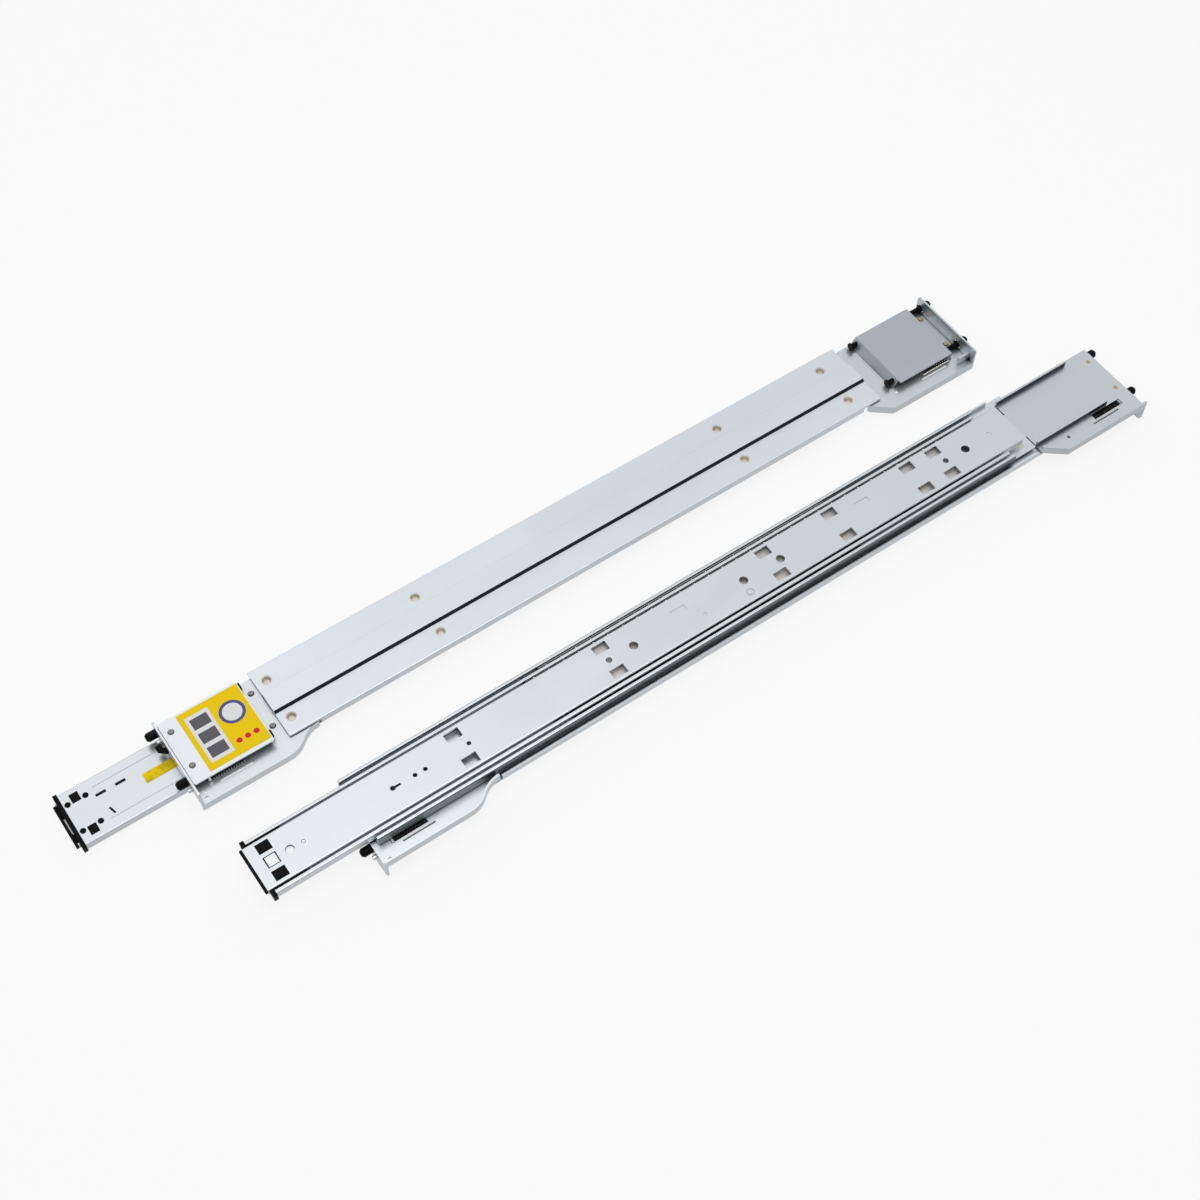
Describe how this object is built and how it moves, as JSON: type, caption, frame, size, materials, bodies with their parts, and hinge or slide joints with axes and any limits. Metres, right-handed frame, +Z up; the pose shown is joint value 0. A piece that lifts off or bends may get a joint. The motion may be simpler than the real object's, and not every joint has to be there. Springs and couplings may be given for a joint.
{
  "type": "sliding server rail pair",
  "caption": "Left and right telescopic ball-bearing server rails with sprung pin brackets at both ends, hook windows for the chassis and a sliding rear bracket that sets the depth.",
  "frame": {"origin": "middle of the pair's bounding box, on the surface that both rails lie on", "axes": "+X along the rails from the front of the rack to the rear, +Z up from the surface, +Y across, from the left-hand rail to the right-hand rail"},
  "size_m": [0.8396, 0.181, 0.025],
  "materials": {
    "zinc_steel": "pre-galvanised steel sheet with a fine pale bluish-white spangle",
    "member_steel": "zinc-plated steel, pale bluish white, satin",
    "cover_steel": "zinc-plated steel sheet, grey, satin",
    "rivet_steel": "plain steel rivets",
    "rivet_brass": "yellow-passivated rivets",
    "black_pin": "black oxide steel and black plastic",
    "yellow_label": "yellow film label, semi-gloss",
    "spring_wire": "dark spring wire",
    "black_plastic": "black acetal",
    "lever_steel": "spring-steel leaf",
    "cage_steel": "plain steel strip",
    "ball_steel": "polished bearing steel"
  },
  "bodies": {
    "fixed_rails": {"outer_member_right": "zinc_steel", "support_plate_right": "zinc_steel", "front_bracket_right": "zinc_steel", "front_rivets_right": "rivet_steel", "plate_rivets_right": "rivet_steel", "front_latch_spring_right": "spring_wire", "outer_member_left": "zinc_steel", "support_plate_left": "zinc_steel", "front_bracket_left": "zinc_steel", "front_rivets_left": "rivet_steel", "plate_rivets_left": "rivet_steel", "front_latch_spring_left": "spring_wire"},
    "front_latch_right": {"front_latch_plate_right": "cover_steel", "front_pins_right": "black_pin", "front_hook_right": "black_pin", "front_label_right": "yellow_label", "latch_rivets_right": "rivet_steel"},
    "rear_bracket_right": {"rear_bracket_right": "zinc_steel", "rear_rivets_right": "rivet_brass", "rear_latch_spring_right": "spring_wire"},
    "rear_latch_right": {"rear_latch_plate_right": "cover_steel", "rear_pins_right": "black_pin"},
    "middle_right": {"middle_member_right": "member_steel", "middle_bumper_right": "black_plastic", "middle_clips_right": "black_plastic", "middle_tag_right": "yellow_label"},
    "inner_right": {"inner_member_right": "member_steel", "inner_bumper_right": "black_plastic"},
    "lever_right": {"release_lever_right": "lever_steel"},
    "outer_cage_right": {"outer_cage_right": "cage_steel", "outer_balls_right": "ball_steel"},
    "inner_cage_right": {"inner_cage_right": "cage_steel", "inner_balls_right": "ball_steel"},
    "front_latch_left": {"front_latch_plate_left": "cover_steel", "front_pins_left": "black_pin", "front_hook_left": "black_pin", "front_label_left": "yellow_label", "latch_rivets_left": "rivet_steel"},
    "rear_bracket_left": {"rear_bracket_left": "zinc_steel", "rear_rivets_left": "rivet_brass", "rear_latch_spring_left": "spring_wire"},
    "rear_latch_left": {"rear_latch_plate_left": "cover_steel", "rear_pins_left": "black_pin"},
    "middle_left": {"middle_member_left": "member_steel", "middle_bumper_left": "black_plastic", "middle_clips_left": "black_plastic", "middle_tag_left": "yellow_label"},
    "inner_left": {"inner_member_left": "member_steel", "inner_bumper_left": "black_plastic"},
    "lever_left": {"release_lever_left": "lever_steel"},
    "outer_cage_left": {"outer_cage_left": "cage_steel", "outer_balls_left": "ball_steel"},
    "inner_cage_left": {"inner_cage_left": "cage_steel", "inner_balls_left": "ball_steel"}
  },
  "joints": [
    {"name": "front_latch_slide_right", "type": "slide", "parent": "fixed_rails", "child": "front_latch_right", "axis": [1, 0, 0], "range_m": [0, 0.0085], "stiffness_N_per_m": 1500, "springref_m": -0.004, "deforming": ["front_latch_spring_right"]},
    {"name": "rear_bracket_slide_right", "type": "slide", "parent": "fixed_rails", "child": "rear_bracket_right", "axis": [1, 0, 0], "range_m": [0, 0.251]},
    {"name": "rear_latch_slide_right", "type": "slide", "parent": "rear_bracket_right", "child": "rear_latch_right", "axis": [-1, 0, 0], "range_m": [0, 0.0085], "stiffness_N_per_m": 1500, "springref_m": -0.004, "deforming": ["rear_latch_spring_right"]},
    {"name": "middle_slide_right", "type": "slide", "parent": "fixed_rails", "child": "middle_right", "axis": [-1, 0, 0], "range_m": [-0.086, 0.247]},
    {"name": "inner_slide_right", "type": "slide", "parent": "middle_right", "child": "inner_right", "axis": [-1, 0, 0], "range_m": [0, 0.34]},
    {"name": "release_lever_hinge_right", "type": "hinge", "parent": "inner_right", "child": "lever_right", "pos_m": [-0.38175, 0.06055, 0.0019], "axis": [0, 1, 0], "range_deg": [0, 4], "stiffness_Nm_per_rad": 0.5},
    {"name": "outer_cage_slide_right", "type": "slide", "parent": "fixed_rails", "child": "outer_cage_right", "axis": [-1, 0, 0], "range_m": [-0.043, 0.1235]},
    {"name": "inner_cage_slide_right", "type": "slide", "parent": "middle_right", "child": "inner_cage_right", "axis": [-1, 0, 0], "range_m": [0, 0.17]},
    {"name": "front_latch_slide_left", "type": "slide", "parent": "fixed_rails", "child": "front_latch_left", "axis": [1, 0, 0], "range_m": [0, 0.0085], "stiffness_N_per_m": 1500, "springref_m": -0.004, "deforming": ["front_latch_spring_left"]},
    {"name": "rear_bracket_slide_left", "type": "slide", "parent": "fixed_rails", "child": "rear_bracket_left", "axis": [1, 0, 0], "range_m": [0, 0.251]},
    {"name": "rear_latch_slide_left", "type": "slide", "parent": "rear_bracket_left", "child": "rear_latch_left", "axis": [-1, 0, 0], "range_m": [0, 0.0085], "stiffness_N_per_m": 1500, "springref_m": -0.004, "deforming": ["rear_latch_spring_left"]},
    {"name": "middle_slide_left", "type": "slide", "parent": "fixed_rails", "child": "middle_left", "axis": [-1, 0, 0], "range_m": [-0.078, 0.255]},
    {"name": "inner_slide_left", "type": "slide", "parent": "middle_left", "child": "inner_left", "axis": [-1, 0, 0], "range_m": [0, 0.34]},
    {"name": "release_lever_hinge_left", "type": "hinge", "parent": "inner_left", "child": "lever_left", "pos_m": [-0.29725, -0.04855, 0.0231], "axis": [0, -1, 0], "range_deg": [0, 4], "stiffness_Nm_per_rad": 0.5},
    {"name": "outer_cage_slide_left", "type": "slide", "parent": "fixed_rails", "child": "outer_cage_left", "axis": [-1, 0, 0], "range_m": [-0.039, 0.1275]},
    {"name": "inner_cage_slide_left", "type": "slide", "parent": "middle_left", "child": "inner_cage_left", "axis": [-1, 0, 0], "range_m": [0, 0.17]}
  ],
  "couplings": [
    {"joint": "outer_cage_slide_right", "follows": "middle_slide_right", "ratio": 0.5},
    {"joint": "inner_cage_slide_right", "follows": "inner_slide_right", "ratio": 0.5},
    {"joint": "outer_cage_slide_left", "follows": "middle_slide_left", "ratio": 0.5},
    {"joint": "inner_cage_slide_left", "follows": "inner_slide_left", "ratio": 0.5}
  ]
}
